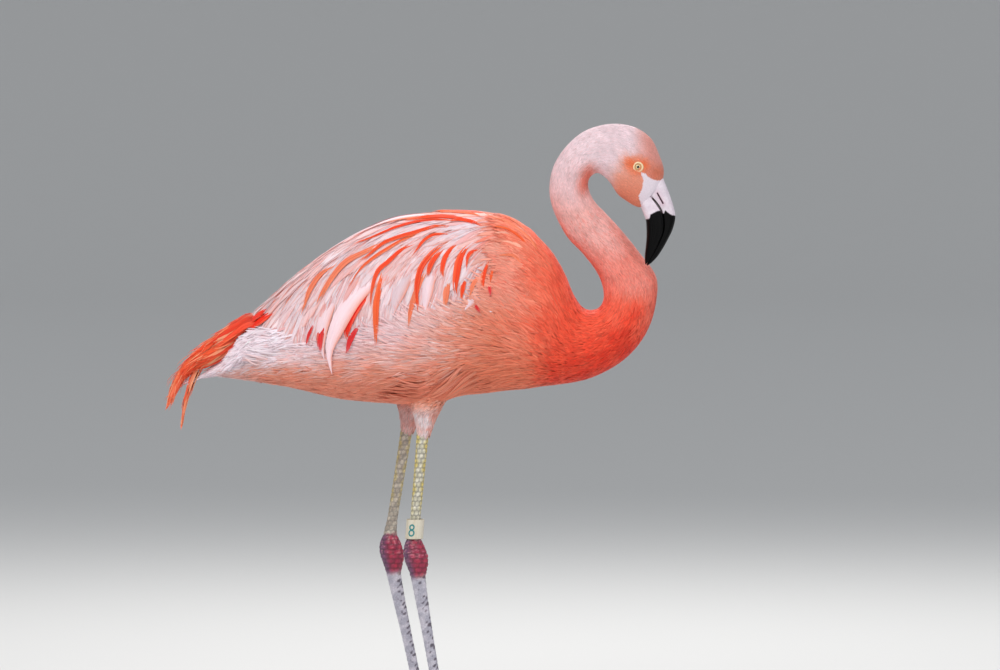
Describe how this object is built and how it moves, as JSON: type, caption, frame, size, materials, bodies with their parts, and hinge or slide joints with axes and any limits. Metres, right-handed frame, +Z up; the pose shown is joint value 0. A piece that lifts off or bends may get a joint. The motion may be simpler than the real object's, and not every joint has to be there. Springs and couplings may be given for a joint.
{
  "type": "chilean flamingo",
  "caption": "Life-size still model of a standing flamingo with a folded S-shaped neck, folded wings with hanging plumes, long bare legs, webbed feet and a leg ring.",
  "frame": {"origin": "centre of the bounding box's bottom face, on the floor under the bird", "axes": "+X the way the bird faces, +Y its left side, +Z up"},
  "size_m": [0.6578, 0.1706, 0.8184],
  "materials": {
    "body_plumage": "matt, salmon pink, deepest coral on the chest and lower neck, pale pink on the upper neck and crown",
    "wing_plumage": "matt, pale pink with orange-red streaks",
    "tail_plumage": "matt red",
    "bill": "satin horn, lilac white at the root and black from the bend to the tip",
    "eye": "wet gloss, pale yellow iris with a small black pupil",
    "leg_skin": "scaled grey skin",
    "joint_skin": "scaled crimson skin",
    "claw": "satin dark horn",
    "ring": "satin cream plastic"
  },
  "bodies": {
    "root": {"trunk": "body_plumage", "neck_base": "body_plumage", "neck_lower": "body_plumage", "neck_upper": "body_plumage", "neck_arch": "body_plumage", "head": "body_plumage", "bill_upper": "bill", "bill_lower": "bill", "tail": "tail_plumage", "eye_right": "eye", "wing_right": "wing_plumage", "thigh_right": "body_plumage", "shank_right": "leg_skin", "ankle_right": "joint_skin", "tarsus_right": "leg_skin", "foot_right": "joint_skin", "claw_right_inner": "claw", "claw_right_middle": "claw", "claw_right_outer": "claw", "claw_right_hind": "claw", "eye_left": "eye", "wing_left": "wing_plumage", "thigh_left": "body_plumage", "shank_left": "leg_skin", "ankle_left": "joint_skin", "tarsus_left": "leg_skin", "foot_left": "joint_skin", "claw_left_inner": "claw", "claw_left_middle": "claw", "claw_left_outer": "claw", "claw_left_hind": "claw", "leg_ring": "ring"}
  },
  "joints": []
}
